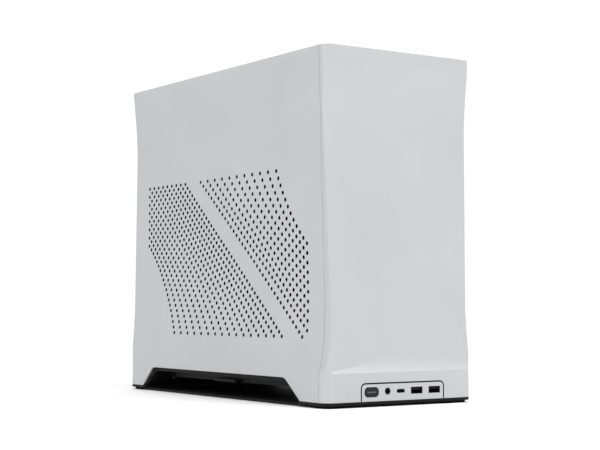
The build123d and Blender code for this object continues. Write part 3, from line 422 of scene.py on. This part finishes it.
def add_rotors():
    """Swept blades in place of each plain rotor, about its own joint axis."""
    for joint in frame["joints"]:
        if not joint.get("continuous"):
            continue
        body = joint["child"]
        node = RECORD["behaviour"]["bodies"][body][0]
        low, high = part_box(node)
        axis = Vector(joint["axis"])
        sideways = [k for k in range(3) if abs(axis[k]) < 0.5]
        tip_r = min((high[k] - low[k]) / 2 for k in sideways)
        along = [k for k in range(3) if k not in sideways][0]
        centre = (low + high) / 2
        for k in sideways:
            centre[k] = joint["pos_m"][k]
        height = high[along] - low[along]
        blades = 11 if "graphics" in node or "supply" in node else 9
        mesh = rotor_mesh(f"{node}_blades", centre, axis, tip_r, height, blades)
        piece = make_piece(f"{node}_blades", mesh, body, "rotor_plastic", 40)
        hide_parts(node)


MESH_PITCH, MESH_HOLE, MESH_CORNER_R = 5.0 * MM, 3.9 * MM, 16 * MM


def add_meshes():
    """Fine hexagonal mesh under the slats."""
    low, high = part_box("top_mesh")
    sheet = perforated_sheet("top_mesh_fine", low, high, MESH_PITCH, MESH_HOLE, MESH_CORNER_R)
    piece = make_piece("top_mesh_fine", sheet, "top_cover", "black_mesh")
    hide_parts("top_mesh")


def rounded_boxes(name, boxes, bevel):
    """One mesh of boxes with rounded edges, each given by its lowest and highest corner."""
    body = bmesh.new()
    for low, high in boxes:
        made = bmesh.ops.create_cube(body, size=1)["verts"]
        size = [high[k] - low[k] for k in range(3)]
        centre = [(high[k] + low[k]) / 2 for k in range(3)]
        bmesh.ops.scale(body, vec=size, verts=made)
        bmesh.ops.translate(body, vec=centre, verts=made)
    bmesh.ops.bevel(
        body, geom=list(body.edges), offset=bevel, segments=2, profile=0.6, affect="EDGES"
    )
    mesh = bpy.data.meshes.new(name)
    body.to_mesh(mesh)
    body.free()
    return mesh


def lathed(name, places, axis, profile, around=24):
    """One mesh of turned pieces; the profile is (radius, distance along the axis) pairs."""
    body = bmesh.new()
    turn = Vector((0, 0, 1)).rotation_difference(Vector(axis)).to_matrix().to_4x4()
    for place in places:
        rings = []
        for r, h in profile:
            ring = []
            for index in range(around):
                angle = 2 * math.pi * index / around
                ring.append(body.verts.new((r * math.cos(angle), r * math.sin(angle), h)))
            rings.append(ring)
        for lower, upper in zip(rings, rings[1:]):
            for index in range(around):
                after = (index + 1) % around
                body.faces.new((lower[index], lower[after], upper[after], upper[index]))
        body.faces.new(list(reversed(rings[0])))
        body.faces.new(rings[-1])
        made = [vertex for ring in rings for vertex in ring]
        bmesh.ops.transform(body, matrix=Matrix.Translation(place) @ turn, verts=made)
    mesh = bpy.data.meshes.new(name)
    body.to_mesh(mesh)
    body.free()
    return mesh


def add_board_parts():
    """Capacitors, chokes, chips and resistors on the main board."""
    low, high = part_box("main_board")
    face = high.x

    def on_board(y, z, size_y, size_z, height):
        y0, z0 = low.y + y * MM, low.z + z * MM
        return (face, y0, z0), (face + height * MM, y0 + size_y * MM, z0 + size_z * MM)

    chokes = [on_board(58 + 9.5 * k, 150, 7.5, 7.5, 6) for k in range(8)]
    chokes += [on_board(45.5, 62 + 9.5 * k, 5.5, 7.5, 6) for k in range(5)]
    mesh = rounded_boxes("board_chokes", chokes, 0.8 * MM)
    make_piece("board_chokes", mesh, "chassis", "module_black", 30)

    chips = [
        on_board(132, 3.5, 9, 6, 1.6),
        on_board(40, 15, 3.8, 30, 1.4),
        on_board(34, 30, 5, 7, 1.4),
        on_board(2, 30, 10, 12, 1.6),
        on_board(2, 50, 8, 8, 1.4),
        on_board(1.5, 64, 7, 5, 1.2),
    ]
    chips += [on_board(58 + 9.5 * k, 159.8, 5, 4, 1.0) for k in range(8)]
    mesh = rounded_boxes("board_chips", chips, 0.15 * MM)
    make_piece("board_chips", mesh, "chassis", "black_plastic", 30)

    resistors = []
    for row in range(7):
        for column in range(5):
            y = 1.5 + 2.6 * column + 0.7 * (row % 3)
            resistors.append(on_board(y, 142 + 3.4 * row, 1.6, 0.9, 0.6))
    for k in range(22):
        resistors.append(on_board(62 + 3.6 * k, 15 + 1.4 * (k % 2), 1.6, 0.9, 0.6))
    mesh = rounded_boxes("board_resistors", resistors, 0.1 * MM)
    make_piece("board_resistors", mesh, "chassis", "port_metal", 30)

    can = ((3.0, 0), (3.0, 0.9), (2.75, 1.2), (3.0, 1.5), (3.0, 6.2), (2.6, 6.6), (0.4, 6.6))
    cans = [(face, low.y + (137 - 8.0 * k) * MM, low.z + 3.8 * MM + 0.009) for k in range(3)]
    cans += [(face, low.y + (61 + 9.5 * k) * MM, low.z + 146.0 * MM) for k in range(8)]
    profile = [(r * MM, h * MM) for r, h in can]
    mesh = lathed("board_capacitors", cans, (1, 0, 0), profile)
    make_piece("board_capacitors", mesh, "chassis", "fin_aluminium", 30)


def add_plugs():
    """The plug shell on the end of each loom."""
    loom_low, loom_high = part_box("main_power_cable")
    loom_r = 4.0 * MM
    z = loom_high.z - loom_r
    shell = (
        (loom_low.x, -4.4 * MM, z - 26 * MM),
        (loom_low.x + 12 * MM, 4.4 * MM, z + 26 * MM),
    )
    mesh = rounded_boxes("main_power_plug", [shell], 0.7 * MM)
    make_piece("main_power_plug", mesh, "chassis", "black_plastic", 30)

    low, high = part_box("graphics_power_cable")
    x = (low.x + high.x) / 2
    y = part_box("graphics_card_heatsink")[0].y - 0.1 * MM
    z = high.z - 3.5 * MM
    shell = (
        (x - 10 * MM, y - 12 * MM, z - 4.4 * MM),
        (x + 10 * MM, y, z + 4.4 * MM),
    )
    mesh = rounded_boxes("graphics_power_plug", [shell], 0.7 * MM)
    make_piece("graphics_power_plug", mesh, "chassis", "black_plastic", 30)


def add_filter_net():
    """Crossing strands in place of the filter's plain mesh."""
    low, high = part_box("dust_filter_mesh")
    pitch, wide = 2.2 * MM, 0.45 * MM
    middle = (low.z + high.z) / 2
    strands = []
    for axis, (z0, z1) in ((0, (low.z, middle + 0.03 * MM)), (1, (middle - 0.03 * MM, high.z))):
        span = high[axis] - low[axis]
        count = int(span / pitch)
        for index in range(count + 1):
            centre = low[axis] + (span - count * pitch) / 2 + index * pitch
            centre = min(max(centre, low[axis] + wide / 2), high[axis] - wide / 2)
            start, end = list(low), list(high)
            start[axis], end[axis] = centre - wide / 2, centre + wide / 2
            start[2], end[2] = z0, z1
            strands.append((start, end))
    body = bmesh.new()
    for start, end in strands:
        made = bmesh.ops.create_cube(body, size=1)["verts"]
        bmesh.ops.scale(body, vec=[end[k] - start[k] for k in range(3)], verts=made)
        bmesh.ops.translate(body, vec=[(end[k] + start[k]) / 2 for k in range(3)], verts=made)
    mesh = bpy.data.meshes.new("filter_net")
    body.to_mesh(mesh)
    body.free()
    piece = make_piece("filter_net", mesh, "dust_filter", "black_mesh")
    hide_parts("dust_filter_mesh")


add_rotors()
add_meshes()
add_filter_net()
add_board_parts()
add_plugs()


# ---------------------------------------------------------------- stage
FLOOR_COLOUR = (0.97, 0.97, 0.97)
SKY_STRENGTH = 1.05
# place and power of each round soft light, in metres and watts
LIGHTS = {
    "front_light": ((0.35, -0.95, 1.25), 7.5),
    "side_light": ((-1.05, -0.3, 1.3), 5.5),
}
LIGHT_SIZE = 0.8


def add_floor():
    mesh = mesh_from("floor", [(-6, -6, 0), (6, -6, 0), (6, 6, 0), (-6, 6, 0)], [(0, 1, 2, 3)])
    floor = bpy.data.objects.new("floor", mesh)
    bpy.context.scene.collection.objects.link(floor)
    material, _ = new_material("floor_paper", FLOOR_COLOUR, 0, 0.8)
    mesh.materials.append(material)


def add_area_light(name, place, power):
    light = bpy.data.lights.new(name, "AREA")
    light.shape = "DISK"
    light.size = LIGHT_SIZE
    light.energy = power
    lamp = bpy.data.objects.new(name, light)
    lamp.location = place
    aim = Vector((0, 0, 0.15)) - Vector(place)
    lamp.rotation_mode = "QUATERNION"
    lamp.rotation_quaternion = aim.to_track_quat("-Z", "Y")
    bpy.context.scene.collection.objects.link(lamp)


def add_world():
    world = bpy.data.worlds.new("studio")
    world.use_nodes = True
    background = world.node_tree.nodes["Background"]
    background.inputs["Color"].default_value = (1, 1, 1, 1)
    background.inputs["Strength"].default_value = SKY_STRENGTH
    bpy.context.scene.world = world


CAMERA_PLACE = (-0.7748, -1.1671, 0.0902)
CAMERA_YAW, CAMERA_PITCH = 34.05, 2.45
CAMERA_LENS, CAMERA_SHIFT = 84.71, 0.03


def add_camera():
    data = bpy.data.cameras.new("camera")
    data.sensor_width = 36
    data.lens = CAMERA_LENS
    data.shift_y = CAMERA_SHIFT
    camera = bpy.data.objects.new("camera", data)
    camera.location = CAMERA_PLACE
    camera.rotation_euler = (math.radians(90 + CAMERA_PITCH), 0, -math.radians(CAMERA_YAW))
    bpy.context.scene.collection.objects.link(camera)
    bpy.context.scene.camera = camera


add_floor()
add_world()
for light_name, (light_place, light_power) in LIGHTS.items():
    add_area_light(light_name, light_place, light_power)
add_camera()
bpy.context.scene.view_settings.view_transform = "Standard"
